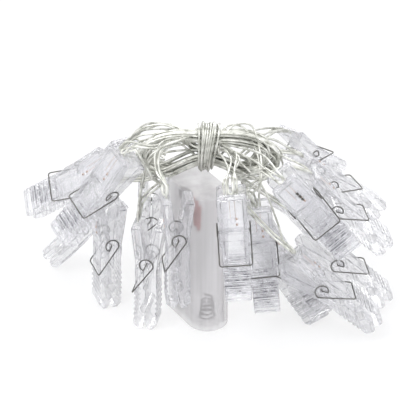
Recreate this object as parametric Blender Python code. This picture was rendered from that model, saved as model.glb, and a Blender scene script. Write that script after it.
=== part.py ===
"""Clip string lights: eighteen clear pegs hung by their wire from a tied hank, over a battery case."""
import math

import bmesh
import bpy
from mathutils import Matrix, Vector

# Driving sizes, in metres
CLIP_LENGTH = 0.050
HANDLE_LENGTH = 0.018
HANDLE_WIDTH = 0.0124
JAW_WIDTH = 0.0112
JAW_THICKNESS = 0.0050
WAIST_THICKNESS = 0.0046
HANDLE_THICKNESS = 0.0040
CASE_LENGTH = 0.034
CASE_THICKNESS = 0.018
CASE_HEIGHT = 0.066
WIRE_DIAMETER = 0.0010
HANK_REACH = 0.0325
HANK_HEIGHT = 0.0105
SPREAD = 0.080

# Clearances and the overrun of every cut
SEAT_GAP = 0.0003
CUT_OVERRUN = 0.002
WELD_DISTANCE = 0.000001

# Clip: heights are measured from the pivot, up to the handle end and down to the jaw tip
SPLAY_DEG = 9.0
PEG_WALL_GAP = 0.0003
PIVOT_BORE_RADIUS = 0.0008
JAW_LENGTH = CLIP_LENGTH - HANDLE_LENGTH
JAW_TIP_HEIGHT = 0.0022
TIP_INSET = 0.0012
TIP_OUTSET = 0.0020
LINE_NOTCH_RADIUS = 0.0020
LINE_NOTCH_UP = 0.0100
LINE_NOTCH_SIDES = 4
RIB_COUNT = 5
RIB_PITCH = 0.0026
RIB_DEPTH = 0.0006
RIB_FIRST_UP = 0.0055
RIBS_TOP = JAW_LENGTH - RIB_FIRST_UP - RIB_COUNT * RIB_PITCH
JAW_SLOPE = 0.0005
RELIEF_DEPTH = 0.0009
RELIEF_TOP = 0.0030
RELIEF_BOTTOM = RIBS_TOP - JAW_SLOPE
PANEL_HALF_WIDTH = 0.0043
PANEL_DEPTH = 0.00065
PANEL_TOP = 0.0030
PANEL_OVER_JAW = 0.0012
PANEL_BOTTOM = RELIEF_BOTTOM - PANEL_OVER_JAW
HANDLE_CORNER = 0.0012
STEP_TOP = 0.0050
STEP_HEIGHT = 0.0015
FRAME_WALL = 0.0016
FRAME_DEPTH = 0.0010
FRAME_BOTTOM_UP = 0.0020

# Clip spring
SPRING_WIRE = 0.0008
SPRING_INNER_RADIUS = 0.0026
SPRING_OUTER_RADIUS = 0.0032
SPRING_START_DEG = 245.0
SPRING_SWEEP_DEG = 262.0
SPRING_POINTS = 8
SPRING_TAIL = 0.0022
BAR_ON_JAW = 0.0010
BAR_DOWN = RELIEF_BOTTOM + BAR_ON_JAW
BAR_BEND = 0.0010

# Battery case
CASE_WALL = 0.0016
CASE_END_SEGMENTS = 10
CASE_TURN_DEG = 120.0
COVER_DEPTH = 0.0056
COVER_BOTTOM = 0.0030
COVER_HEIGHT = 0.0570
CONTACT_WIRE = 0.0008
CONTACT_BASE_RADIUS = 0.0034
CONTACT_TOP_RADIUS = 0.0022
CONTACT_HEIGHT = 0.0100
CONTACT_TURNS = 5
CONTACT_POINTS = 9

# Hank of wire and its tie
HANK_X = 0.0038
HANK_Y = 0.0058
HANK_OVER_CASE = 0.0140
HANK_Z = CASE_HEIGHT + HANK_OVER_CASE
HANK_LAYERS = 4
LOOPS_A_LAYER = 3
LOOP_POINTS = 24
STRAND_PITCH = 0.0021
WAIST_DRAW = 0.0030
WAIST_REACH = 0.0120
HANK_ARCH_RADIUS = 0.047
TIE_TURNS = 3.25
TIE_POINTS = 16
TIE_WIDTH = 0.0064
TIE_ROOM = 0.0027
TIE_START_DEG = 60.0
TIE_RUN_POINTS = 6

# Wire pairs from under the hank to the clips' handles, in the order that the wire visits them
LEFT_ORDER = "hcgedfba"
RIGHT_ORDER = "mojiksnlqp"
LEFT_ROOT_ACROSS = -0.0235
RIGHT_ROOT_ACROSS = 0.0135
LEFT_ROOT_FRONT = -0.0140
RIGHT_ROOT_FRONT = -0.0210
ROOT_PITCH = 0.0043
ROOT_DROP = 0.0017
PAIR_HALF = 0.0011
LEAD_SWEEP_SHARE = 0.30
LEAD_ARRIVE_SHARE = 0.34
LEAD_RISE = 0.0040
LEAD_DIP_SHARE = 0.7
LEAD_STEPS = 4

# Where each clip's jaw tip stands, in thousandth shares of SPREAD, then in degrees the way its jaws
# point, its lean from upright and its roll about its own length
PLACE_SHARES = 1000
CLIP_PLACE_SHARES = {
    "a": (-620, 770, 430, 120, 52, 0),
    "b": (-932, 346, 478, 160, 54, 45),
    "c": (-730, -77, 526, 178, 36, 40),
    "d": (-820, 516, 50, 150, 40, 0),
    "e": (-508, 107, 5, -160, 2, -1),
    "f": (-300, 593, 31, 104, 23, 76),
    "g": (-277, -111, 5, -130, 3, -60),
    "h": (-110, -310, 265, -94, 4, -80),
    "i": (218, -430, 366, -45, 6, -45),
    "j": (377, -167, 126, -48, 9, -42),
    "k": (798, -227, 542, 15, 38, -92),
    "l": (777, 830, 440, 52, 52, 0),
    "m": (1020, 84, 390, 9, 47, 0),
    "n": (1000, 453, 405, 22, 53, 0),
    "o": (958, -231, 92, 5, 50, 0),
    "p": (780, 640, 25, 38, 38, 0),
    "q": (673, -110, 40, -46, 57, 0),
    "s": (1030, 55, 65, 8, 46, 0),
}

PART_NAME = "clip_string_lights"


def clear_scene():
    """Start from an empty scene."""
    for old in list(bpy.data.objects):
        bpy.data.objects.remove(old, do_unlink=True)


def new_collection(name):
    """A collection linked to the scene."""
    made = bpy.data.collections.new(name)
    bpy.context.scene.collection.children.link(made)
    return made


def finish(name, colour, roughness, metallic=0.0, alpha=1.0):
    """A Principled material in the piece's own colour."""
    made = bpy.data.materials.new(name)
    made.use_nodes = True
    shader = made.node_tree.nodes["Principled BSDF"]
    shader.inputs["Base Color"].default_value = (*colour, 1.0)
    shader.inputs["Roughness"].default_value = roughness
    shader.inputs["Metallic"].default_value = metallic
    shader.inputs["Alpha"].default_value = alpha
    return made


def weld(mesh):
    """Join the loose caps of a mesh made from a curve."""
    work = bmesh.new()
    work.from_mesh(mesh)
    bmesh.ops.remove_doubles(work, verts=work.verts, dist=WELD_DISTANCE)
    bmesh.ops.recalc_face_normals(work, faces=work.faces)
    work.to_mesh(mesh)
    work.free()


def mesh_of(item):
    """The evaluated mesh of an object, as a mesh of its own."""
    bpy.context.view_layer.update()
    depsgraph = bpy.context.evaluated_depsgraph_get()
    mesh = bpy.data.meshes.new_from_object(item.evaluated_get(depsgraph))
    return mesh


def slab(name, outline, thickness, axes):
    """A flat outline drawn in two of the axes and as thick as given along the third."""
    curve = bpy.data.curves.new(name, "CURVE")
    curve.dimensions = "2D"
    curve.fill_mode = "BOTH"
    curve.extrude = thickness / 2
    spline = curve.splines.new("POLY")
    spline.points.add(len(outline) - 1)
    for point, (across, along) in zip(spline.points, outline):
        point.co = (across, along, 0.0, 1.0)
    spline.use_cyclic_u = True
    drawn = bpy.data.objects.new(name, curve)
    bpy.context.scene.collection.objects.link(drawn)
    mesh = mesh_of(drawn)
    bpy.data.objects.remove(drawn, do_unlink=True)
    turn = {"yz": Matrix(((0, 0, 1), (1, 0, 0), (0, 1, 0))),
            "xz": Matrix(((1, 0, 0), (0, 0, -1), (0, 1, 0))),
            "xy": Matrix.Identity(3)}[axes]
    mesh.transform(turn.to_4x4())
    weld(mesh)
    solid = bpy.data.objects.new(name, mesh)
    CUTTERS.objects.link(solid)
    solid.hide_render = True
    solid.display_type = "WIRE"
    return solid


def box(name, low, high):
    """A box cutter between two corners."""
    bpy.ops.mesh.primitive_cube_add(size=1.0)
    solid = bpy.context.active_object
    solid.name = name
    low, high = Vector(low), Vector(high)
    solid.data.transform(Matrix.Translation((low + high) / 2) @ Matrix.Diagonal((*(high - low), 1.0)))
    for home in list(solid.users_collection):
        home.objects.unlink(solid)
    CUTTERS.objects.link(solid)
    solid.hide_render = True
    solid.display_type = "WIRE"
    return solid


def cut(target, tool, operation="DIFFERENCE"):
    """Cut, trim or join a solid with a tool, and keep the result as its mesh."""
    step = target.modifiers.new(operation.lower(), "BOOLEAN")
    step.object = tool
    step.operation = operation
    mesh = mesh_of(target)
    target.modifiers.remove(step)
    target.data = mesh
    return target


def place(name, mesh, material, matrix):
    """A piece of the object, in the object's own collection."""
    if not mesh.materials:
        mesh.materials.append(material)
    piece = bpy.data.objects.new(name, mesh)
    PARTS.objects.link(piece)
    piece.matrix_world = matrix
    return piece


def wire(name, points, diameter, material, matrix=None, resolution=1):
    """One unbroken wire through the points given."""
    curve = bpy.data.curves.new(name, "CURVE")
    curve.dimensions = "3D"
    curve.bevel_depth = diameter / 2
    curve.bevel_resolution = resolution
    curve.use_fill_caps = True
    spline = curve.splines.new("POLY")
    spline.points.add(len(points) - 1)
    for point, spot in zip(spline.points, points):
        point.co = (*spot, 1.0)
    curve.materials.append(material)
    piece = bpy.data.objects.new(name, curve)
    PARTS.objects.link(piece)
    if matrix is not None:
        piece.matrix_world = matrix
    return piece


def least_gap(points, diameter, apart):
    """The least gap of a wound wire to itself, between runs that are further apart than given along it."""
    least = math.inf
    along = [0.0]
    for here, there in zip(points, points[1:]):
        along.append(along[-1] + (there - here).length)
    for first in range(len(points) - 1):
        start, run = points[first], points[first + 1] - points[first]
        for second in range(first + 2, len(points) - 1):
            if along[second] - along[first + 1] < apart:
                continue
            for step in range(5):
                spot = points[second].lerp(points[second + 1], step / 4)
                share = max(0.0, min(1.0, (spot - start).dot(run) / run.length_squared))
                least = min(least, (spot - start - share * run).length)
    return least - diameter


def length_of(points):
    """The length of a wire through the points."""
    return sum((there - here).length for here, there in zip(points, points[1:]))


# Clip halves

def half_outline(ribbed):
    """One half seen from the side: how far out from the middle plane, and how high from the pivot."""
    face = PEG_WALL_GAP / 2
    splay = math.tan(math.radians(SPLAY_DEG))
    inner_top = face + HANDLE_LENGTH * splay
    notch_up = LINE_NOTCH_UP - JAW_LENGTH
    points = [(face + TIP_INSET, -JAW_LENGTH), (face, JAW_TIP_HEIGHT - JAW_LENGTH)]
    for step in range(LINE_NOTCH_SIDES + 1):
        turn = math.pi * (step / LINE_NOTCH_SIDES - 0.5)
        deep, rise = LINE_NOTCH_RADIUS * math.cos(turn), LINE_NOTCH_RADIUS * math.sin(turn)
        points.append((face + deep, notch_up + rise))
    points.append((face, -RELIEF_BOTTOM))
    points.append((face + RELIEF_DEPTH, -RELIEF_BOTTOM + RELIEF_DEPTH))
    points.append((face + RELIEF_DEPTH, -RELIEF_TOP))
    points.append((face, -PIVOT_BORE_RADIUS))
    points.append((face + PIVOT_BORE_RADIUS, 0.0))
    points.append((face + PIVOT_BORE_RADIUS * splay, PIVOT_BORE_RADIUS))
    points.append((inner_top, HANDLE_LENGTH))
    points.append((inner_top + HANDLE_THICKNESS - HANDLE_CORNER, HANDLE_LENGTH))
    points.append((inner_top + HANDLE_THICKNESS, HANDLE_LENGTH - HANDLE_CORNER))
    points.append((face + WAIST_THICKNESS, 0.0))
    points.append((face + WAIST_THICKNESS, -RELIEF_BOTTOM))
    outer = face + JAW_THICKNESS
    if ribbed:
        for rib in reversed(range(RIB_COUNT)):
            middle = RIB_FIRST_UP + rib * RIB_PITCH - JAW_LENGTH
            points.append((outer, middle + RIB_PITCH / 3))
            points.append((outer - RIB_DEPTH, middle))
            points.append((outer, middle - RIB_PITCH / 3))
    else:
        points.append((outer, -RIBS_TOP))
        points.append((outer, JAW_TIP_HEIGHT - JAW_LENGTH))
    points.append((outer - TIP_OUTSET, -JAW_LENGTH))
    return points


def front_outline():
    """Either half seen from the front, with the shoulders at the pivot."""
    wide, narrow = HANDLE_WIDTH / 2, JAW_WIDTH / 2
    over = CUT_OVERRUN
    right = [(narrow, -JAW_LENGTH - over), (narrow, -STEP_TOP - STEP_HEIGHT), (wide, -STEP_TOP),
             (wide, HANDLE_LENGTH - HANDLE_CORNER), (wide - HANDLE_CORNER, HANDLE_LENGTH),
             (wide - HANDLE_CORNER, HANDLE_LENGTH + over)]
    return right + [(-across, up) for across, up in reversed(right)]


def clip_half(name, side):
    """One half of the peg, turned out from a slab and trimmed to the front outline; side is -1 or 1."""
    outline = [(side * out, up) for out, up in half_outline(ribbed=side < 0)]
    half = slab(name + "_slab", outline, HANDLE_WIDTH + 2 * CUT_OVERRUN, "yz")
    reach = 2 * (JAW_THICKNESS + HANDLE_THICKNESS + HANDLE_LENGTH)
    cut(half, slab(name + "_trim", front_outline(), reach, "xz"), "INTERSECT")
    # the sunk panel between the shoulders and the spring's bar
    outer = side * (PEG_WALL_GAP / 2 + WAIST_THICKNESS)
    floor, past = outer - side * PANEL_DEPTH, outer + side * CUT_OVERRUN
    cut(half, box(name + "_panel", (-PANEL_HALF_WIDTH, min(floor, past), -PANEL_BOTTOM),
                  (PANEL_HALF_WIDTH, max(floor, past), -PANEL_TOP)))
    if side < 0:
        # the window of the framed handle, square to its sloping face
        wide = HANDLE_WIDTH / 2 - FRAME_WALL
        top = HANDLE_LENGTH - FRAME_WALL
        slope = (HANDLE_LENGTH * math.tan(math.radians(SPLAY_DEG)) + HANDLE_THICKNESS - WAIST_THICKNESS)
        lean = math.atan2(slope, HANDLE_LENGTH)
        window = box(name + "_window",
                     (-wide, -WAIST_THICKNESS - CUT_OVERRUN - HANDLE_THICKNESS, FRAME_BOTTOM_UP),
                     (wide, -WAIST_THICKNESS - PEG_WALL_GAP / 2 + FRAME_DEPTH, top))
        shift = Matrix.Translation((0.0, -WAIST_THICKNESS, 0.0))
        window.data.transform(shift @ Matrix.Rotation(lean, 4, "X") @ shift.inverted())
        cut(half, window)
    mesh = half.data
    mesh.name = name
    return mesh


def spring_points():
    """The wire of one clip spring: tail in the pivot bore, open spiral, leg, cross bar and back."""
    side = HANDLE_WIDTH / 2 + SEAT_GAP + SPRING_WIRE / 2
    bar_out = -(PEG_WALL_GAP / 2 + JAW_THICKNESS + SEAT_GAP + SPRING_WIRE / 2)
    points = [Vector((side - SPRING_TAIL, 0.0, 0.0)), Vector((side - SPRING_WIRE / 2, 0.0, 0.0))]
    for step in range(SPRING_POINTS):
        share = step / (SPRING_POINTS - 1)
        turn = math.radians(SPRING_START_DEG - SPRING_SWEEP_DEG * share)
        reach = SPRING_INNER_RADIUS + (SPRING_OUTER_RADIUS - SPRING_INNER_RADIUS) * share
        points.append(Vector((side, reach * math.cos(turn), reach * math.sin(turn))))
    foot = Vector((side, bar_out, -BAR_DOWN))
    back = (points[-1] - foot).normalized() * BAR_BEND
    points.append(foot + back)
    points.append(foot - Vector((BAR_BEND, 0.0, 0.0)))
    other = [Vector((-spot.x, spot.y, spot.z)) for spot in reversed(points)]
    return points + other


def clip_matrix(place_row):
    """Where a clip's pivot stands, from where its jaw tip stands and how it leans."""
    x_share, y_share, z_share, way, lean, roll = place_row
    turn = (Matrix.Rotation(math.radians(way + 90.0), 4, "Z")
            @ Matrix.Rotation(math.radians(-lean), 4, "X")
            @ Matrix.Rotation(math.radians(roll), 4, "Z"))
    tip = Vector((x_share, y_share, z_share)) * SPREAD / PLACE_SHARES
    return Matrix.Translation(tip) @ turn @ Matrix.Translation((0.0, 0.0, JAW_LENGTH))


def make_clips():
    """Every clip, as a front half, a spring and a back half that rocks on the pivot."""
    front_mesh = clip_half("clip_front", -1)
    back_mesh = clip_half("clip_back", 1)
    route = spring_points()
    for letter, row in CLIP_PLACE_SHARES.items():
        matrix = clip_matrix(row)
        place("clip_" + letter + "_front", front_mesh, CLEAR, matrix)
        place("clip_" + letter + "_back", back_mesh, CLEAR, matrix)
        wire("clip_" + letter + "_spring", route, SPRING_WIRE, STEEL, matrix)


# Battery case

def case_matrix():
    """The case stands centred on the origin; its own +X runs from the nose in front to the far end."""
    return (Matrix.Rotation(math.radians(CASE_TURN_DEG), 4, "Z")
            @ Matrix.Translation(((CASE_THICKNESS - CASE_LENGTH) / 2, 0.0, 0.0)))


def round_ended(length, thickness):
    """A straight-sided outline with half round ends, the first end centred on zero."""
    radius = thickness / 2
    run = length - thickness
    points = []
    for centre, start in ((run, -90.0), (0.0, 90.0)):
        for step in range(CASE_END_SEGMENTS + 1):
            turn = math.radians(start + 180.0 * step / CASE_END_SEGMENTS)
            points.append((centre + radius * math.cos(turn), radius * math.sin(turn)))
    return points


def case_shell(name):
    """The hollow case before it is parted into the body and the cover."""
    shell = slab(name, round_ended(CASE_LENGTH, CASE_THICKNESS), CASE_HEIGHT, "xy")
    shell.data.transform(Matrix.Translation((0.0, 0.0, CASE_HEIGHT / 2)))
    room = slab(name + "_room", round_ended(CASE_LENGTH - 2 * CASE_WALL, CASE_THICKNESS - 2 * CASE_WALL),
                CASE_HEIGHT - 2 * CASE_WALL, "xy")
    room.data.transform(Matrix.Translation((0.0, 0.0, CASE_HEIGHT / 2)))
    return cut(shell, room)


def make_case():
    """The case body, the cover that snaps into its side, and the contact spring at the nose."""
    matrix = case_matrix()
    face = CASE_THICKNESS / 2 - COVER_DEPTH
    left = -CASE_THICKNESS / 2 - CUT_OVERRUN
    right = CASE_LENGTH - CASE_THICKNESS / 2 + CUT_OVERRUN
    outside = -CASE_THICKNESS / 2 - CUT_OVERRUN
    body = case_shell("case_body")
    cut(body, box("cover_bay", (left, outside, COVER_BOTTOM),
                  (right, -face, COVER_BOTTOM + COVER_HEIGHT + 2 * SEAT_GAP)))
    place("battery_case", body.data, FROSTED, matrix)
    lid = case_shell("case_lid")
    cut(lid, box("lid_keep", (left, outside, COVER_BOTTOM + SEAT_GAP),
                 (right, -face - SEAT_GAP, COVER_BOTTOM + SEAT_GAP + COVER_HEIGHT)), "INTERSECT")
    place("case_cover", lid.data, FROSTED, matrix)

    points = []
    for step in range(CONTACT_TURNS * CONTACT_POINTS + 1):
        share = step / (CONTACT_TURNS * CONTACT_POINTS)
        turn = 2 * math.pi * step / CONTACT_POINTS
        reach = CONTACT_BASE_RADIUS + (CONTACT_TOP_RADIUS - CONTACT_BASE_RADIUS) * share
        height = CASE_WALL + SEAT_GAP + CONTACT_WIRE / 2 + CONTACT_HEIGHT * share
        points.append(Vector((reach * math.cos(turn), reach * math.sin(turn), height)))
    print("contact spring least gap mm", round(1000 * least_gap(points, CONTACT_WIRE, 4 * CONTACT_WIRE), 2))
    wire("contact_spring", points, CONTACT_WIRE, STEEL, matrix)


# Hank

def hank_spot(loop):
    """One point of the hank's wire, so many loops along it."""
    turned = LOOPS_A_LAYER - 0.5
    layer = min(int(loop // LOOPS_A_LAYER), HANK_LAYERS - 1)
    within = loop - layer * LOOPS_A_LAYER
    # the last half turn in a layer climbs to the next one while the spiral reverses
    last = layer == HANK_LAYERS - 1
    climb = 0.0 if last else max(0.0, (within - turned) * 2)
    wound = within if last else min(within, turned)
    rank = wound if layer % 2 == 0 else turned - wound
    draw = rank * STRAND_PITCH
    turn = 2 * math.pi * loop
    across = (HANK_REACH - draw) * math.cos(turn)
    rise = (HANK_HEIGHT - draw) * math.sin(turn)
    pull = WAIST_DRAW * math.exp(-(across / WAIST_REACH) ** 2) * math.tanh(rise / STRAND_PITCH)
    depth = (layer + climb - (HANK_LAYERS - 1) / 2) * STRAND_PITCH
    return arched(across, depth, rise - pull)


def arched(across, depth, rise):
    """A place in the flat hank, bent over the hank's arch."""
    turn = across / HANK_ARCH_RADIUS
    reach = HANK_ARCH_RADIUS + rise
    return Vector((HANK_X + reach * math.sin(turn), HANK_Y + depth,
                   HANK_Z - HANK_ARCH_RADIUS + reach * math.cos(turn)))


def tie_points():
    """The wire's own end, wound round the waist in square-shouldered turns."""
    half_depth = (HANK_LAYERS - 1) * STRAND_PITCH / 2 + TIE_ROOM
    half_rise = HANK_HEIGHT - WAIST_DRAW + STRAND_PITCH / 4 + TIE_ROOM
    points = []
    count = round(TIE_TURNS * TIE_POINTS)
    for step in range(count + 1):
        turn = math.radians(TIE_START_DEG) - 2 * math.pi * step / TIE_POINTS
        side, top = math.cos(turn), math.sin(turn)
        square = (side ** 4 + top ** 4) ** -0.25
        across = TIE_WIDTH / 2 - TIE_WIDTH * step / count
        points.append(arched(across, half_depth * side * square, half_rise * top * square))
    return points


def hank_points():
    """The loops of the hank, spiralling in and out through its layers, and the tie."""
    loops = HANK_LAYERS * LOOPS_A_LAYER
    points = [hank_spot(step / LOOP_POINTS) for step in range(loops * LOOP_POINTS)]
    return points + [hank_spot(loops + step / LOOP_POINTS) for step in range(TIE_RUN_POINTS)] + tie_points()


def make_hank():
    """The hank of wire over the case."""
    points = hank_points()
    print("hank least gap mm", round(1000 * least_gap(points, WIRE_DIAMETER, 6 * WIRE_DIAMETER), 2),
          "length m", round(length_of(points), 3))
    wire("wire_hank", points, WIRE_DIAMETER, TINNED)


def lead_points(order, across, front):
    """One wire that runs out to each clip's handle and back, from a row of turns under the hank."""
    under = -HANK_HEIGHT * math.sqrt(1 - (across / HANK_REACH) ** 2) - ROOT_DROP
    splay = HANDLE_LENGTH * math.tan(math.radians(SPLAY_DEG))
    middle = -(PEG_WALL_GAP / 2 + splay + HANDLE_THICKNESS / 2)
    points = []
    for rank, letter in enumerate(order):
        matrix = clip_matrix(CLIP_PLACE_SHARES[letter])
        root = arched(across, front + rank * ROOT_PITCH, under)
        end = matrix @ Vector((0.0, middle, HANDLE_LENGTH + SEAT_GAP + WIRE_DIAMETER / 2))
        up = matrix.to_3x3() @ Vector((0.0, 0.0, 1.0))
        sweep = LEAD_SWEEP_SHARE * (end - root).length
        arrive = LEAD_ARRIVE_SHARE * (end - root).length + LEAD_RISE
        level = Vector((end.x - root.x, end.y - root.y, 0.0)).normalized()
        side = Vector((level.y, -level.x, 0.0)) * PAIR_HALF
        if side.y > 0:
            side = -side
        wide = (side - up * side.dot(up)).normalized()
        away = Vector((level.x, level.y, -LEAD_DIP_SHARE * (end.z < root.z))).normalized()
        runs = []
        for sign in (1, -1):
            start, stop = root + sign * side, end + sign * PAIR_HALF * wide + up * PAIR_HALF
            knots = (start, start + away * sweep, stop + up * arrive, stop)
            run = []
            for step in range(LEAD_STEPS + 1):
                share = step / LEAD_STEPS
                rest = 1 - share
                run.append(rest ** 3 * knots[0] + 3 * rest ** 2 * share * knots[1]
                           + 3 * rest * share ** 2 * knots[2] + share ** 3 * knots[3])
            runs.append(run)
        tips = [end + PAIR_HALF * wide / 2, end - PAIR_HALF * wide / 2]
        points += runs[0] + tips + list(reversed(runs[1]))
    return points


def make_leads():
    """The wire that joins the clips of each side to the hank."""
    for name, order, across, front in (("lead_left", LEFT_ORDER, LEFT_ROOT_ACROSS, LEFT_ROOT_FRONT),
                                       ("lead_right", RIGHT_ORDER, RIGHT_ROOT_ACROSS, RIGHT_ROOT_FRONT)):
        points = lead_points(order, across, front)
        print(name, "least gap mm", round(1000 * least_gap(points, WIRE_DIAMETER, 3 * WIRE_DIAMETER), 2),
              "length m", round(length_of(points), 3), "points", len(points))
        wire(name, points, WIRE_DIAMETER, TINNED)


clear_scene()
PARTS = new_collection(PART_NAME)
CUTTERS = new_collection(PART_NAME + "_cutters")
CLEAR = finish("clear_plastic", (0.93, 0.92, 0.96), 0.08, 0.0, 0.35)
STEEL = finish("spring_steel", (0.16, 0.15, 0.14), 0.35, 1.0)
FROSTED = finish("frosted_plastic", (0.80, 0.80, 0.82), 0.45, 0.0, 0.6)
TINNED = finish("tinned_wire", (0.70, 0.71, 0.66), 0.25, 0.8)
make_clips()
make_case()
make_hank()
make_leads()
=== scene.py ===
import math
import random

import bmesh
import bpy
from mathutils import Matrix, Vector


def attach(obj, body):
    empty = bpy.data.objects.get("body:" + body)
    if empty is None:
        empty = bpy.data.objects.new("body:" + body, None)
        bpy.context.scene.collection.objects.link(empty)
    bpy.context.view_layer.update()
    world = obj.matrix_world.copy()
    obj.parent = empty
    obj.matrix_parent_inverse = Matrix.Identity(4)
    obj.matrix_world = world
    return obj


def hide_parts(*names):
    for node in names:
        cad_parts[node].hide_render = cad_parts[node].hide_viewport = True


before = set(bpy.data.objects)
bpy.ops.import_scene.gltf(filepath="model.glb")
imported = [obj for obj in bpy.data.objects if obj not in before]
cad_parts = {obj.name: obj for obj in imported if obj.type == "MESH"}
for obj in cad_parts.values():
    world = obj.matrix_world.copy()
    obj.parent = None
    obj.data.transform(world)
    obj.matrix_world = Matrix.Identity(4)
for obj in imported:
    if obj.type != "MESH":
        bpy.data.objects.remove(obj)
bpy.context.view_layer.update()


# Camera
# The photograph looks down on the bunch at 30 degrees from straight ahead, with a long lens.
# The picture is 416 pixels square and takes in about 181 mm at the middle of the bunch.
look_down, far_off = 30.0, 1.0
lens = bpy.data.cameras.new("camera")
lens.sensor_width = 36.0
lens.lens = 199.0
lens.clip_start = 0.05
lens.clip_end = 20.0
camera = bpy.data.objects.new("camera", lens)
bpy.context.scene.collection.objects.link(camera)
aim = Vector((0.00435, 0.012, 0.0461))
view_way = Vector((0.0, -math.cos(math.radians(look_down)), math.sin(math.radians(look_down))))
camera.location = aim + far_off * view_way
camera.rotation_euler = (math.radians(90.0 - look_down), 0.0, 0.0)
bpy.context.scene.camera = camera


# Places of the clips
# Each row is where a clip's jaw tip stands, in thousandths of 80 mm, then the way its jaws point,
# its lean from upright and its roll, in degrees. The pivot lies 32 mm up the clip.
fan_reach, jaw_length = 0.080, 0.032
clip_rows = {
    "a": (-620, 770, 430, 120, 52, 0),
    "b": (-932, 346, 478, 160, 54, 45),
    "c": (-730, -77, 526, 178, 36, 40),
    "d": (-820, 516, 50, 150, 40, 0),
    "e": (-508, 107, 5, -160, 2, -1),
    "f": (-300, 593, 31, 104, 23, 76),
    "g": (-277, -111, 5, -130, 3, -60),
    "h": (-110, -310, 265, -94, 4, -80),
    "i": (218, -430, 366, -45, 6, -45),
    "j": (377, -167, 126, -48, 9, -42),
    "k": (798, -227, 542, 15, 38, -92),
    "l": (777, 830, 440, 52, 52, 0),
    "m": (1020, 84, 390, 9, 47, 0),
    "n": (1000, 453, 405, 22, 53, 0),
    "o": (958, -231, 92, 5, 50, 0),
    "p": (780, 640, 25, 38, 38, 0),
    "q": (673, -110, 40, -46, 57, 0),
    "s": (1030, 55, 65, 8, 46, 0),
}


def clip_place(row):
    """The matrix that carries a clip from its own axes to its place in the bunch."""
    x, y, z, way, lean, roll = row
    turn = (Matrix.Rotation(math.radians(way + 90.0), 4, "Z")
            @ Matrix.Rotation(math.radians(-lean), 4, "X")
            @ Matrix.Rotation(math.radians(roll), 4, "Z"))
    tip = Matrix.Translation(Vector((x, y, z)) * fan_reach / 1000)
    return tip @ turn @ Matrix.Translation((0.0, 0.0, jaw_length))


places = {letter: clip_place(row) for letter, row in clip_rows.items()}


# Wire material
# Two fine tinned strands in thin clear insulation: silvery and faintly green, with glints and dark streaks
# painted into the base colour where the twisted strands would catch and lose the light.
def node_material(name):
    """A material with a Principled shader, and a way to add nodes with their values."""
    made = bpy.data.materials.new(name)
    made.use_nodes = True
    tree = made.node_tree
    shader = tree.nodes["Principled BSDF"]

    def add(kind, **values):
        node = tree.nodes.new(kind)
        for key, value in values.items():
            if key in node.inputs:
                node.inputs[key].default_value = value
            else:
                setattr(node, key, value)
        return node

    return made, tree, shader, add


wire_look, tree, shader, add = node_material("wire_look")
shader.inputs["Metallic"].default_value = 0.40
shader.inputs["Coat Weight"].default_value = 0.3
shader.inputs["Coat Roughness"].default_value = 0.06
where = add("ShaderNodeTexCoord")
# Painted glints and painted dark streaks: this noise sets the base colour between a dark and a light grey,
# and also varies the roughness.
painted_glints = add("ShaderNodeTexNoise", Scale=260.0, Detail=2.0, Roughness=0.5)
tone = add("ShaderNodeValToRGB")
tone.color_ramp.elements[0].position = 0.36
tone.color_ramp.elements[0].color = (0.43, 0.435, 0.385, 1.0)
tone.color_ramp.elements[1].position = 0.64
tone.color_ramp.elements[1].color = (0.80, 0.80, 0.75, 1.0)
rough = add("ShaderNodeMapRange")
rough.inputs["To Min"].default_value = 0.18
rough.inputs["To Max"].default_value = 0.42
tree.links.new(where.outputs["Object"], painted_glints.inputs["Vector"])
tree.links.new(painted_glints.outputs["Fac"], tone.inputs["Fac"])
tree.links.new(tone.outputs["Color"], shader.inputs["Base Color"])
tree.links.new(painted_glints.outputs["Fac"], rough.inputs["Value"])
tree.links.new(rough.outputs["Result"], shader.inputs["Roughness"])


# Hank
# One wire wound in thirty loops of uneven size over the case, bent to an arch, and tied at its
# waist by eight turns of its own end. The loops nest in the tie and part into loose lobes.
wire_radius = 0.0005
arch_radius, arch_x, arch_y, arch_z = 0.047, 0.0038, 0.0058, 0.033
hank_reach, hank_height, hank_depth = 0.0325, 0.0105, 0.0034
least_reach, least_fold, lobe_spread = 0.64, 0.0052, 0.3
waist_width, waist_pinch, pinch_ease = 0.012, 0.0030, 0.0021
loops, loop_points, fold_crowding = 30, 48, 0.6
tie_turns, turn_points, tie_start = 8, 32, math.radians(60.0)
tie_half_width, tie_half_depth, tie_half_height = 0.0033, 0.00585, 0.010725
tie_slack, tie_wander, tie_slant = 0.05, 0.0009, 0.0014


def drawn(name, points, radius, material):
    """A wire along the points, as one open line."""
    curve = bpy.data.curves.new(name, "CURVE")
    curve.dimensions = "3D"
    curve.bevel_depth = radius
    curve.bevel_resolution = 2
    curve.use_fill_caps = True
    line = curve.splines.new("POLY")
    line.points.add(len(points) - 1)
    for point, spot in zip(line.points, points):
        point.co = (*spot, 1.0)
    curve.materials.append(material)
    piece = bpy.data.objects.new(name, curve)
    bpy.context.scene.collection.objects.link(piece)
    return piece


def over_arch(across, depth, rise):
    """A place in the flat hank, bent over its arch."""
    turn = across / arch_radius
    reach = arch_radius + rise
    return Vector((arch_x + reach * math.sin(turn), arch_y + depth, arch_z + reach * math.cos(turn)))


def loop_size(number):
    """The reach, fold radius, lift and depth of one loop, spread evenly over the loops out of step."""
    reach = hank_reach * (least_reach + (1 - least_reach) * (number * 0.618 % 1.0))
    fold = least_fold + (hank_height - least_fold) * (number * 0.291 % 1.0)
    lift = (hank_height - fold) * (2 * (number * 0.414 % 1.0) - 1)
    return reach, fold, lift, hank_depth * (2 * (number * 0.755 % 1.0) - 1)


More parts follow.
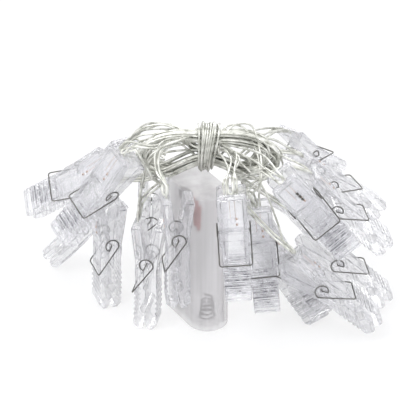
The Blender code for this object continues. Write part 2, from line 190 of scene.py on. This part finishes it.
def hank_spot(loop):
    """A point of the hank, so many loops along its wire, on an oval with round ends."""
    share = loop % 1.0
    ease = share * share * (3 - 2 * share)
    reach, fold, lift, depth = (here + (there - here) * ease
                                for here, there in zip(loop_size(int(loop)), loop_size(int(loop) + 1)))
    share -= fold_crowding / (4 * math.pi) * math.sin(4 * math.pi * share)
    bent = math.pi / 2 * fold
    along = (bent + reach - fold) * (1 - abs(4 * share % 2 - 1))
    turn = min(along, bent) / fold
    across = math.copysign(reach - fold + fold * math.cos(turn) - max(0.0, along - bent),
                           math.cos(2 * math.pi * share))
    up = math.copysign(fold * math.sin(turn), math.sin(2 * math.pi * share)) + lift
    waist = math.exp(-(across / waist_width) ** 2)
    return over_arch(across, depth * (1 + lobe_spread * (1 - waist)),
                     up - waist_pinch * waist * math.tanh(up / pinch_ease))


hank_line = [hank_spot(step / loop_points) for step in range(loops * loop_points + loop_points // 4)]
for step in range(tie_turns * turn_points + 1):
    turn = tie_start - 2 * math.pi * step / turn_points
    side, top = math.cos(turn), math.sin(turn)
    square = (abs(side) ** 3 + abs(top) ** 3) ** (-1 / 3)
    slack = 1.0 - tie_slack * (math.sin(step / 17) + 1)
    sway = tie_wander * math.sin(step / 11) + tie_slant * top
    hank_line.append(over_arch(tie_half_width * (1 - 2 * step / (tie_turns * turn_points)) + sway,
                               tie_half_depth * side * square * slack,
                               tie_half_height * top * square * slack))
hank = drawn("hank", hank_line, wire_radius, wire_look)
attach(hank, "body")
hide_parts("wire_hank")


# Wire pairs to the clips
# On each side one wire runs out to every handle in turn and back, in close pairs that leave a
# row under the hank.
seam_gap, handle_length, handle_splay = 0.00015, 0.018, math.tan(math.radians(9.0))
handle_middle, handle_top = 0.002, 0.0188
lead_drop, lead_spacing, pair_offset, pair_end, lead_steps = 0.0017, 0.0043, 0.0011, 0.00055, 4


def lead_line(order, across, front):
    """The route of one side's wire, out to each clip's handle and back."""
    under = -hank_height * math.sqrt(1 - (across / hank_reach) ** 2) - lead_drop
    middle = -(seam_gap + handle_length * handle_splay + handle_middle)
    points = []
    for rank, letter in enumerate(order):
        matrix = places[letter]
        root = over_arch(across, front + rank * lead_spacing, under)
        end = matrix @ Vector((0.0, middle, handle_top))
        up = matrix.to_3x3() @ Vector((0.0, 0.0, 1.0))
        far = (end - root).length
        level = Vector((end.x - root.x, end.y - root.y, 0.0)).normalized()
        side = Vector((level.y, -level.x, 0.0)) * pair_offset
        if side.y > 0:
            side = -side
        wide = (side - up * side.dot(up)).normalized()
        away = Vector((level.x, level.y, -0.7 * (end.z < root.z))).normalized()
        runs = []
        for sign in (1, -1):
            start, stop = root + sign * side, end + sign * pair_offset * wide + up * pair_offset
            knots = (start, start + away * 0.30 * far, stop + up * (0.34 * far + 0.004), stop)
            run = []
            for step in range(lead_steps + 1):
                share = step / lead_steps
                rest = 1 - share
                run.append(rest ** 3 * knots[0] + 3 * rest ** 2 * share * knots[1]
                           + 3 * rest * share ** 2 * knots[2] + share ** 3 * knots[3])
            runs.append(run)
        points += runs[0] + [end + pair_end * wide, end - pair_end * wide] + list(reversed(runs[1]))
    return points


for name, order, across, front in (("lead_left", "hcgedfba", -0.0235, -0.0140),
                                   ("lead_right", "mojiksnlqp", 0.0135, -0.0210)):
    line = lead_line(order, across, front)
    lead = drawn(name + "_wire", line, wire_radius, wire_look)
    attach(lead, "body")
    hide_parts(name)


# Loose strands of the bunch
# More of the same wire leaves the tie in every direction, arches over the hank's ends and hangs in
# slack runs down to the handles, one to four runs to a clip.
strand_radius, strand_steps = 0.00045, 6
strand_shifts = (0.0016, -0.0016, 0.0027, -0.0027)
stray, kept_apart, last_run = 0.0011, 0.8, 0.0055
lamp_joint = Vector((0.0, -0.0047, 0.0186))


def eased(knots, steps):
    """A smooth line through the knots."""
    full = [2 * knots[0] - knots[1]] + list(knots) + [2 * knots[-1] - knots[-2]]
    line = []
    for before, here, there, after in zip(full, full[1:], full[2:], full[3:]):
        for step in range(steps):
            t = step / steps
            line.append(0.5 * (2 * here + (there - before) * t
                               + (2 * before - 5 * here + 4 * there - after) * t * t
                               + (3 * here - before - 3 * there + after) * t ** 3))
    line.append(knots[-1])
    return line


strand_ways = {
    "a": (2, (-0.008, 0.011, 0.0865), (-0.021, 0.021, 0.0835)),
    "b": (2, (-0.009, 0.008, 0.0865), (-0.024, 0.010, 0.0850)),
    "c": (2, (-0.008, -0.001, 0.0845), (-0.019, -0.007, 0.0860)),
    "d": (2, (-0.010, 0.012, 0.0850), (-0.026, 0.020, 0.0790), (-0.036, 0.025, 0.0620)),
    "e": (2, (-0.010, 0.008, 0.0840), (-0.027, 0.010, 0.0790), (-0.040, 0.009, 0.0650)),
    "f": (3, (-0.008, 0.009, 0.0860), (-0.017, 0.012, 0.0820), (-0.022, 0.021, 0.0690)),
    "g": (4, (-0.008, 0.002, 0.0845), (-0.019, -0.002, 0.0800), (-0.0245, -0.005, 0.0660)),
    "h": (4, (-0.007, 0.001, 0.0865), (-0.016, -0.008, 0.0865), (-0.0168, -0.017, 0.0815)),
    "i": (4, (0.0115, -0.004, 0.0835), (0.0142, -0.0155, 0.0864), (0.0142, -0.0265, 0.0866)),
    "j": (2, (0.013, 0.007, 0.0880), (0.021, 0.007, 0.0880), (0.026, -0.001, 0.0800),
          (0.0265, -0.009, 0.0710)),
    "k": (2, (0.015, -0.005, 0.0845), (0.025, -0.019, 0.0872)),
    "l": (2, (0.014, 0.008, 0.0800), (0.026, 0.019, 0.0790)),
    "m": (1, (0.016, 0.005, 0.0800), (0.031, 0.003, 0.0790)),
    "n": (2, (0.015, 0.009, 0.0820), (0.030, 0.016, 0.0790)),
    "o": (1, (0.014, 0.002, 0.0770), (0.026, -0.008, 0.0680), (0.034, -0.016, 0.0560)),
    "p": (1, (0.015, 0.009, 0.0790), (0.028, 0.020, 0.0740), (0.037, 0.030, 0.0600)),
    "q": (1, (0.012, 0.008, 0.0760), (0.019, 0.017, 0.0600)),
    "s": (1, (0.016, 0.004, 0.0770), (0.032, 0.002, 0.0700), (0.044, 0.001, 0.0570)),
}
chance = random.Random(11)
for letter, (count, *ways) in strand_ways.items():
    matrix = places[letter]
    up = matrix.to_3x3() @ Vector((0.0, 0.0, 1.0))
    side = -1.0 if ways[0][0] < 0 else 1.0
    for number in range(count):
        apart = matrix.to_3x3() @ Vector((strand_shifts[number], 0.0, 0.0))
        end = matrix @ lamp_joint + apart
        depth, high = chance.uniform(-0.0040, 0.0040), chance.uniform(-0.0070, 0.0070)
        knots = [over_arch(-0.002 * side, depth, high), over_arch(0.0045 * side, depth, high)]
        for way in ways:
            drift = Vector([chance.uniform(-stray, stray) for axis in range(3)])
            knots.append(Vector(way) + drift + kept_apart * apart)
        knots += [end + up * last_run, end]
        line = eased(knots, strand_steps)
        strand = drawn("strand_" + letter + str(number), line, strand_radius, wire_look)
        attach(strand, "body")


# Clear plastic
# Hard clear styrene with a faint violet-grey cast. Its walls let the white through, and its rounded edges
# and ribs carry painted highlights and painted shade, near black in one place and near white in the next.
def clear_plastic(name, low, high, thin, scale, bump):
    """Clear moulded plastic, patchy between two greys and the given share solid face on."""
    made, tree, shader, add = node_material(name)
    shader.inputs["Roughness"].default_value = 0.06
    shader.inputs["IOR"].default_value = 1.46
    shader.inputs["Transmission Weight"].default_value = 0.65
    edge = add("ShaderNodeLayerWeight", Blend=0.35)
    dense = add("ShaderNodeMapRange")
    dense.inputs["To Min"].default_value = thin
    dense.inputs["To Max"].default_value = 0.9
    where = add("ShaderNodeTexCoord")
    cloud = add("ShaderNodeTexNoise", Scale=scale, Detail=3.0, Roughness=0.6)
    tint = add("ShaderNodeValToRGB")
    tint.color_ramp.elements[0].position = 0.38
    tint.color_ramp.elements[0].color = (low, low, low + 0.02, 1.0)
    tint.color_ramp.elements[1].position = 0.62
    tint.color_ramp.elements[1].color = (high, high, high + 0.02, 1.0)
    flow = add("ShaderNodeBump", Strength=bump, Distance=0.0004)
    tree.links.new(edge.outputs["Facing"], dense.inputs["Value"])
    tree.links.new(dense.outputs["Result"], shader.inputs["Alpha"])
    tree.links.new(where.outputs["Object"], cloud.inputs["Vector"])
    tree.links.new(cloud.outputs["Fac"], tint.inputs["Fac"])
    tree.links.new(tint.outputs["Color"], shader.inputs["Base Color"])
    tree.links.new(cloud.outputs["Fac"], flow.inputs["Height"])
    tree.links.new(flow.outputs["Normal"], shader.inputs["Normal"])
    return made


clear_look = clear_plastic("clear_look", 0.74, 0.90, 0.34, 240.0, 0.30)
# The edge material's base colour jumps between near black and near white: painted highlights and painted
# shade on the broken edges.
rim_look = clear_plastic("rim_look", 0.08, 0.95, 0.90, 300.0, 0.2)


# Clip halves
# Each peg is moulded in two halves that meet at the jaws and splay 9 degrees each at the handle.
# Both have a sunk panel below the pivot and ribbed jaws, and the front one a framed window.
seat_radius, seat_height, seat_steps = 0.002, -0.022, 8
jaw_ribs, rib_spacing, rib_top, rib_crest, rib_root = 5, 0.0026, -0.0161, 0.00515, 0.00455
waist_half_width, grip_half_width, blank_half_width = 0.0056, 0.0062, 0.0082
face_low, face_high, broken_edge = 0.0046, 0.0040, 0.00022
window_low, window_high = (-0.0046, -0.0106, 0.0020), (0.0046, -0.00375, 0.0164)
panel_half_width, panel_floor, panel_out, panel_low, panel_high = 0.0043, 0.0041, 0.0070, -0.0118, -0.0030


def prism(outline, low, high, axis):
    """A closed solid with the outline given, between two places along an axis."""
    work = bmesh.new()
    ends = []
    for along in (low, high):
        if axis == "x":
            ends.append([work.verts.new((along, a, b)) for a, b in outline])
        elif axis == "y":
            ends.append([work.verts.new((a, along, b)) for a, b in outline])
        else:
            ends.append([work.verts.new((a, b, along)) for a, b in outline])
    count = len(outline)
    work.faces.new(ends[0])
    work.faces.new(list(reversed(ends[1])))
    for step in range(count):
        after = (step + 1) % count
        work.faces.new((ends[0][step], ends[1][step], ends[1][after], ends[0][after]))
    bmesh.ops.recalc_face_normals(work, faces=work.faces)
    mesh = bpy.data.meshes.new("prism")
    work.to_mesh(mesh)
    work.free()
    solid = bpy.data.objects.new("prism", mesh)
    bpy.context.scene.collection.objects.link(solid)
    return solid


def carve(solid, tool, operation="DIFFERENCE"):
    """Cut or trim a solid with a tool that is then done with."""
    step = solid.modifiers.new("carve", "BOOLEAN")
    step.object = tool
    step.operation = operation
    settle(solid)
    bpy.data.objects.remove(tool, do_unlink=True)


def settle(solid):
    """Keep what an object's modifiers make as its mesh."""
    bpy.context.view_layer.update()
    mesh = bpy.data.meshes.new_from_object(solid.evaluated_get(bpy.context.evaluated_depsgraph_get()))
    solid.modifiers.clear()
    solid.data = mesh


def rounded(solid, width, segments, materials):
    """Break the sharp edges of a moulding, the broken edges in the last of its materials."""
    solid.data.materials.clear()
    for material in materials:
        solid.data.materials.append(material)
    for face in solid.data.polygons:
        face.material_index = 0
    step = solid.modifiers.new("edges", "BEVEL")
    step.width = width
    step.segments = segments
    step.limit_method = "ANGLE"
    step.angle_limit = math.radians(28.0)
    step.material = len(materials) - 1
    settle(solid)


def half_section(side):
    """One half seen from the side, from its jaw tip round its inner face to the handle and back."""
    tip, out = -jaw_length, handle_length * handle_splay
    points = [(0.00135, tip), (seam_gap, -0.0298)]
    for step in range(seat_steps + 1):
        turn = math.pi * (step / seat_steps - 0.5)
        points.append((seam_gap + seat_radius * math.cos(turn), seat_height + seat_radius * math.sin(turn)))
    points += [(seam_gap, -0.0130), (0.00105, -0.0121), (0.00105, -0.0030), (seam_gap, -0.0008),
               (0.00095, 0.0), (seam_gap + 0.0008 * handle_splay, 0.0008), (seam_gap + out, handle_length),
               (0.00295 + out, handle_length), (0.00415 + out, 0.0168), (0.00475, 0.0), (0.00475, -0.0130)]
    for rib in range(jaw_ribs):
        middle = rib_top - rib * rib_spacing
        points += [(rib_crest, middle + 0.0009), (rib_root, middle + 0.0002), (rib_root, middle - 0.0002),
                   (rib_crest, middle - 0.0009)]
    points += [(rib_crest, -0.0298), (0.00315, tip)]
    return [(side * away, up) for away, up in points]


def front_view():
    """Either half seen from the front, wide at the handle and stepped in below the shoulders."""
    right = [(waist_half_width, -0.034), (waist_half_width, -0.0065), (grip_half_width, -0.0050),
             (grip_half_width, 0.0168), (0.0050, handle_length), (0.0050, 0.020)]
    return right + [(-across, up) for across, up in reversed(right)]


def block(low, high):
    """A plain box tool between two corners."""
    outline = [(low[0], low[2]), (high[0], low[2]), (high[0], high[2]), (low[0], high[2])]
    return prism(outline, low[1], high[1], "y")


lean = math.atan2(handle_length * handle_splay + face_high - face_low, handle_length)
slope = (Matrix.Translation((0.0, -face_low, 0.0)) @ Matrix.Rotation(lean, 4, "X")
         @ Matrix.Translation((0.0, face_low, 0.0)))
halves = {}
for which, side in (("front", -1.0), ("back", 1.0)):
    half = prism(half_section(side), -blank_half_width, blank_half_width, "x")
    carve(half, prism(front_view(), -0.02, 0.02, "y"), "INTERSECT")
    if which == "front":
        window = block(window_low, window_high)
        window.data.transform(slope)
        carve(half, window)
    sunk = sorted((side * panel_floor, side * panel_out))
    carve(half, block((-panel_half_width, sunk[0], panel_low), (panel_half_width, sunk[1], panel_high)))
    rounded(half, broken_edge, 2, (clear_look, rim_look))
    halves[which] = half.data
    bpy.data.objects.remove(half, do_unlink=True)

for letter, matrix in places.items():
    for which in ("front", "back"):
        piece = bpy.data.objects.new("peg_" + letter + "_" + which, halves[which])
        bpy.context.scene.collection.objects.link(piece)
        piece.matrix_world = matrix
        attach(piece, "body" if which == "front" else "grip_" + letter)
        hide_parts("clip_" + letter + "_" + which)


# Clip springs
# Drawn steel wire, painted near black to stand for the dark surroundings it reflects: a bar across the
# front jaw, a leg up each side and an open spiral whose tail hooks into the pivot.
spring_radius, coil_steps, coil_from, coil_sweep = 0.00028, 24, 245.0, 262.0
coil_inside, coil_growth = 0.0026, 0.0006
spring_side = grip_half_width + 0.0003 + 0.0004
foot = Vector((spring_side, -0.00585, -0.0140))

steel_look, tree, shader, add = node_material("steel_look")
shader.inputs["Metallic"].default_value = 0.9
where = add("ShaderNodeTexCoord")
# Painted reflection: specks from near black to dark grey in the base colour stand in for dark surroundings
# seen in the steel.
scale = add("ShaderNodeTexNoise", Scale=1500.0, Detail=3.0, Roughness=0.6)
tone = add("ShaderNodeValToRGB")
tone.color_ramp.elements[0].color = (0.03, 0.03, 0.028, 1.0)
tone.color_ramp.elements[1].color = (0.19, 0.185, 0.17, 1.0)
rough = add("ShaderNodeMapRange")
rough.inputs["To Min"].default_value = 0.28
rough.inputs["To Max"].default_value = 0.50
tree.links.new(where.outputs["Object"], scale.inputs["Vector"])
tree.links.new(scale.outputs["Fac"], tone.inputs["Fac"])
tree.links.new(tone.outputs["Color"], shader.inputs["Base Color"])
tree.links.new(scale.outputs["Fac"], rough.inputs["Value"])
tree.links.new(rough.outputs["Result"], shader.inputs["Roughness"])

half_line = [Vector((spring_side - 0.0022, 0.0, 0.0)), Vector((spring_side - 0.0004, 0.0, 0.0))]
for step in range(coil_steps + 1):
    turn = math.radians(coil_from - coil_sweep * step / coil_steps)
    reach = coil_inside + coil_growth * step / coil_steps
    half_line.append(Vector((spring_side, reach * math.cos(turn), reach * math.sin(turn))))
back_up = (half_line[-1] - foot).normalized()
half_line += [foot + back_up * 0.0010, foot + back_up * 0.0003 - Vector((0.0003, 0.0, 0.0)),
              foot - Vector((0.0010, 0.0, 0.0))]
spring_line = half_line + [Vector((-spot.x, spot.y, spot.z)) for spot in reversed(half_line)]
for letter, matrix in places.items():
    spring = drawn("spring_" + letter, spring_line, spring_radius, steel_look)
    spring.matrix_world = matrix
    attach(spring, "body")
    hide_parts("clip_" + letter + "_spring")


# Lamps
# A small lamp set in clear resin behind each window: curved flow lines in the resin, the lamp's
# pale dome, and its two copper legs with their solder dots. One clip's lamp shows dark parts.
resin_low, resin_tall, resin_half_width, resin_front = 0.0024, 0.0136, 0.0044, -0.0038
line_bow, line_height, line_pitch = 0.0010, 0.00026, 0.0021
rows, columns = 30, 9
dome_radius, dot_radius, leg_radius, leg_length = 0.0013, 0.0005, 0.00012, 0.0090

resin_look, tree, shader, add = node_material("resin_look")
shader.inputs["Base Color"].default_value = (0.93, 0.93, 0.95, 1.0)
shader.inputs["Roughness"].default_value = 0.10
shader.inputs["Transmission Weight"].default_value = 0.4
shader.inputs["Alpha"].default_value = 0.40
where = add("ShaderNodeTexCoord")
flow = add("ShaderNodeTexNoise", Scale=420.0, Detail=2.0)
lift = add("ShaderNodeBump", Strength=0.5, Distance=0.0003)
tree.links.new(where.outputs["Object"], flow.inputs["Vector"])
tree.links.new(flow.outputs["Fac"], lift.inputs["Height"])
tree.links.new(lift.outputs["Normal"], shader.inputs["Normal"])

copper_look, tree, shader, add = node_material("copper_look")
shader.inputs["Metallic"].default_value = 0.7
shader.inputs["Roughness"].default_value = 0.35
where = add("ShaderNodeTexCoord")
spot = add("ShaderNodeTexNoise", Scale=1800.0)
tone = add("ShaderNodeValToRGB")
tone.color_ramp.elements[0].color = (0.42, 0.30, 0.26, 1.0)
tone.color_ramp.elements[1].color = (0.62, 0.50, 0.45, 1.0)
tree.links.new(where.outputs["Object"], spot.inputs["Vector"])
tree.links.new(spot.outputs["Fac"], tone.inputs["Fac"])
tree.links.new(tone.outputs["Color"], shader.inputs["Base Color"])

work = bmesh.new()
grid = []
for row in range(rows + 1):
    up = resin_low + resin_tall * row / rows
    line = []
    for column in range(columns):
        across = -resin_half_width + 2 * resin_half_width * column / (columns - 1)
        bow = line_bow * (across / resin_half_width) ** 2
        proud = 0.0006 + line_height * math.cos(2 * math.pi * (up + bow) / line_pitch)
        line.append(work.verts.new((across, resin_front - proud, up)))
    grid.append(line)
for here, there in zip(grid, grid[1:]):
    for column in range(columns - 1):
        work.faces.new((here[column], here[column + 1], there[column + 1], there[column]))
for face in work.faces:
    face.smooth = True
place = Matrix.Translation((0.0, -0.0043, 0.0070)) @ Matrix.Diagonal((1.0, 0.55, 1.35, 1.0))
bmesh.ops.create_uvsphere(work, u_segments=14, v_segments=8, radius=dome_radius, matrix=place)
resin_faces = len(work.faces)
for across, up in ((0.0016, 0.0050), (0.0016, 0.0078)):
    place = Matrix.Translation((across, -0.0048, up)) @ Matrix.Diagonal((1.0, 0.6, 1.3, 1.0))
    bmesh.ops.create_uvsphere(work, u_segments=10, v_segments=6, radius=dot_radius, matrix=place)
for across in (-0.0009, 0.0012):
    bmesh.ops.create_cone(work, cap_ends=True, segments=8, radius1=leg_radius, radius2=leg_radius,
                          depth=leg_length, matrix=Matrix.Translation((across, -0.0042, 0.0118)))
lamp_mesh = bpy.data.meshes.new("lamp")
for number, face in enumerate(work.faces):
    face.material_index = 0 if number < resin_faces else 1
work.to_mesh(lamp_mesh)
work.free()
lamp_mesh.transform(slope)
lamp_mesh.materials.append(resin_look)
lamp_mesh.materials.append(copper_look)
for letter, matrix in places.items():
    lamp = bpy.data.objects.new("lamp_" + letter, lamp_mesh)
    bpy.context.scene.collection.objects.link(lamp)
    lamp.matrix_world = matrix
    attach(lamp, "body")

for number, low in enumerate((0.0058, 0.0078, 0.0098)):
    chip = block((0.0009, -0.0053, low), (0.0020, -0.0047, low + 0.0014))
    chip.name = "dark_lamp_" + str(number)
    rounded(chip, 0.00015, 1, (steel_look,))
    chip.data.transform(slope)
    chip.matrix_world = places["k"]
    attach(chip, "body")


# Battery case
# A frosted moulded case with half round ends, upright on its foot, turned so that its nose faces
# the front. The cover fills the back right side.
case_length, case_thickness, case_height, case_wall = 0.034, 0.018, 0.066, 0.0016
case_edge, arc_steps = 0.0008, 24

frost_look, tree, shader, add = node_material("frost_look")
shader.inputs["Roughness"].default_value = 0.42
shader.inputs["IOR"].default_value = 1.35
shader.inputs["Transmission Weight"].default_value = 0.30
shader.inputs["Alpha"].default_value = 0.40
# Painted highlights: a noise stretched up the case streaks its base colour between darker and lighter grey.
where = add("ShaderNodeTexCoord")
highlight_stretch = add("ShaderNodeMapping")
highlight_stretch.inputs["Scale"].default_value = (260.0, 260.0, 12.0)
painted_highlight_streaks = add("ShaderNodeTexNoise", Scale=1.0, Detail=2.0)
tone = add("ShaderNodeValToRGB")
tone.color_ramp.elements[0].position = 0.3
tone.color_ramp.elements[0].color = (0.62, 0.605, 0.61, 1.0)
tone.color_ramp.elements[1].position = 0.7
tone.color_ramp.elements[1].color = (0.80, 0.785, 0.79, 1.0)
grain = add("ShaderNodeTexNoise", Scale=2600.0, Detail=2.0)
lift = add("ShaderNodeBump", Strength=0.15, Distance=0.0002)
tree.links.new(where.outputs["Object"], highlight_stretch.inputs["Vector"])
tree.links.new(highlight_stretch.outputs["Vector"], painted_highlight_streaks.inputs["Vector"])
tree.links.new(painted_highlight_streaks.outputs["Fac"], tone.inputs["Fac"])
tree.links.new(tone.outputs["Color"], shader.inputs["Base Color"])
tree.links.new(where.outputs["Object"], grain.inputs["Vector"])
tree.links.new(grain.outputs["Fac"], lift.inputs["Height"])
tree.links.new(lift.outputs["Normal"], shader.inputs["Normal"])

case_place = Matrix.Rotation(math.radians(120.0), 4, "Z") @ Matrix.Translation((-0.008, 0.0, 0.0))


def round_ended(length, thickness):
    """A straight-sided outline with half round ends, the first end centred on zero."""
    radius = thickness / 2
    points = []
    for centre, start in ((length - thickness, -90.0), (0.0, 90.0)):
        for step in range(arc_steps + 1):
            turn = math.radians(start + 180.0 * step / arc_steps)
            points.append((centre + radius * math.cos(turn), radius * math.sin(turn)))
    return points


def case_part(name, low, high, operation, body, node):
    """The hollow case, less or only what lies in the cover's bay."""
    shell = prism(round_ended(case_length, case_thickness), 0.0, case_height, "z")
    rounded(shell, case_edge, 3, (frost_look,))
    inside = round_ended(case_length - 2 * case_wall, case_thickness - 2 * case_wall)
    carve(shell, prism(inside, case_wall, case_height - case_wall, "z"))
    carve(shell, block(low, high), operation)
    for face in shell.data.polygons:
        face.use_smooth = True
    shell.data.set_sharp_from_angle(angle=math.radians(30.0))
    shell.name = name
    shell.matrix_world = case_place
    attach(shell, body)
    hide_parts(node)


case_part("case_body", (-0.011, -0.011, 0.003), (0.027, -0.0034, 0.0606), "DIFFERENCE",
          "body", "battery_case")
case_part("case_lid", (-0.011, -0.011, 0.0033), (0.027, -0.0037, 0.0603), "INTERSECT",
          "cover", "case_cover")


# Inside the case
# The contact spring at the nose, a red and a black lead folded under the top, and the dark slide
# of the switch behind them, all seen dimly through the wall.
contact_turns, contact_points, contact_radius = 5, 18, 0.0004
contact_base, contact_taper, contact_low, contact_tall = 0.0034, 0.0012, 0.0023, 0.010
contact_line = []
for step in range(contact_turns * contact_points + 1):
    share = step / (contact_turns * contact_points)
    turn = 2 * math.pi * step / contact_points
    reach = contact_base - contact_taper * share
    height = contact_low + contact_tall * share
    contact_line.append(Vector((reach * math.cos(turn), reach * math.sin(turn), height)))
contact = drawn("contact", contact_line, contact_radius, steel_look)
contact.matrix_world = case_place
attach(contact, "body")
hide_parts("contact_spring")

sheath_radius, fold_top, fold_step, fold_depth = 0.0007, 0.0605, 0.0022, 0.0005
for name, colour, across, height in (("red_lead", (0.68, 0.21, 0.18), -0.0030, 0.048),
                                     ("black_lead", (0.16, 0.15, 0.17), 0.0072, 0.050)):
    sheath_look, tree, shader, add = node_material(name + "_look")
    shader.inputs["Roughness"].default_value = 0.45
    where = add("ShaderNodeTexCoord")
    scuff = add("ShaderNodeTexNoise", Scale=900.0, Detail=2.0)
    tone = add("ShaderNodeValToRGB")
    tone.color_ramp.elements[0].color = tuple(0.8 * part for part in colour) + (1.0,)
    tone.color_ramp.elements[1].color = colour + (1.0,)
    tree.links.new(where.outputs["Object"], scuff.inputs["Vector"])
    tree.links.new(scuff.outputs["Fac"], tone.inputs["Fac"])
    tree.links.new(tone.outputs["Color"], shader.inputs["Base Color"])
    route = [Vector((across + fold_step * fold, 0.0052 - fold_depth * fold, (fold_top, height)[fold % 2]))
             for fold in range(5)]
    sheath = drawn(name, eased(route, 6), sheath_radius, sheath_look)
    sheath.matrix_world = case_place
    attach(sheath, "body")
slide = block((0.0100, 0.0010, 0.0560), (0.0160, 0.0050, 0.0600))
slide.name = "switch_slide"
rounded(slide, 0.0004, 2, (bpy.data.materials["black_lead_look"],))
slide.matrix_world = case_place
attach(slide, "body")


# Floor and backdrop
# A plain pale sweep, nearly white to the camera and through the plastic, that keeps the soft
# shadow of the bunch.
shown_white, floor_size = 0.75, 6.0


def sees_backdrop(tree):
    """Whether a ray comes from the camera, off a reflection or through clear plastic."""
    path = tree.nodes.new("ShaderNodeLightPath")
    answer = path.outputs["Is Camera Ray"]
    for kind in ("Is Glossy Ray", "Is Transmission Ray"):
        either = tree.nodes.new("ShaderNodeMath")
        either.operation = "MAXIMUM"
        tree.links.new(answer, either.inputs[0])
        tree.links.new(path.outputs[kind], either.inputs[1])
        answer = either.outputs["Value"]
    return answer


floor_look, tree, shader, add = node_material("floor_look")
shader.inputs["Roughness"].default_value = 0.9
shader.inputs["Base Color"].default_value = (0.90, 0.90, 0.905, 1.0)
pale = add("ShaderNodeEmission", Color=(1.0, 1.0, 1.0, 1.0), Strength=1.0)
part_white = add("ShaderNodeMath", operation="MULTIPLY")
part_white.inputs[1].default_value = shown_white
mix = add("ShaderNodeMixShader")
tree.links.new(sees_backdrop(tree), part_white.inputs[0])
tree.links.new(part_white.outputs["Value"], mix.inputs["Fac"])
tree.links.new(shader.outputs["BSDF"], mix.inputs[1])
tree.links.new(pale.outputs["Emission"], mix.inputs[2])
tree.links.new(mix.outputs["Shader"], tree.nodes["Material Output"].inputs["Surface"])
bpy.ops.mesh.primitive_plane_add(size=floor_size, location=(0.0, 0.0, 0.0))
floor = bpy.context.active_object
floor.name = "floor"
floor.data.materials.append(floor_look)


# Light
# A big soft source above the front left and two weaker ones, at the front right and behind, as in
# a light tent, and a world that the camera, reflections and clear plastic see as white.
def soft_light(name, spot, size, power):
    """A square soft source aimed at the bunch."""
    lamp = bpy.data.lights.new(name, "AREA")
    lamp.size = size
    lamp.energy = power
    item = bpy.data.objects.new(name, lamp)
    item.location = spot
    item.rotation_euler = (aim - Vector(spot)).to_track_quat("-Z", "Y").to_euler()
    bpy.context.scene.collection.objects.link(item)


soft_light("key", (-0.45, -0.35, 0.95), 0.7, 8.0)
soft_light("fill", (0.75, -0.55, 0.55), 0.7, 3.5)
soft_light("rim", (0.1, 0.9, 0.7), 0.6, 4.0)

world = bpy.data.worlds.new("world")
bpy.context.scene.world = world
world.use_nodes = True
tree = world.node_tree
tree.nodes.clear()
dim = tree.nodes.new("ShaderNodeBackground")
dim.inputs["Color"].default_value = (0.93, 0.94, 1.0, 1.0)
dim.inputs["Strength"].default_value = 0.72
white = tree.nodes.new("ShaderNodeBackground")
white.inputs["Color"].default_value = (1.0, 1.0, 1.0, 1.0)
white.inputs["Strength"].default_value = 1.0
mix = tree.nodes.new("ShaderNodeMixShader")
out = tree.nodes.new("ShaderNodeOutputWorld")
tree.links.new(sees_backdrop(tree), mix.inputs["Fac"])
tree.links.new(dim.outputs["Background"], mix.inputs[1])
tree.links.new(white.outputs["Background"], mix.inputs[2])
tree.links.new(mix.outputs["Shader"], out.inputs["Surface"])
bpy.context.scene.view_settings.view_transform = "Standard"
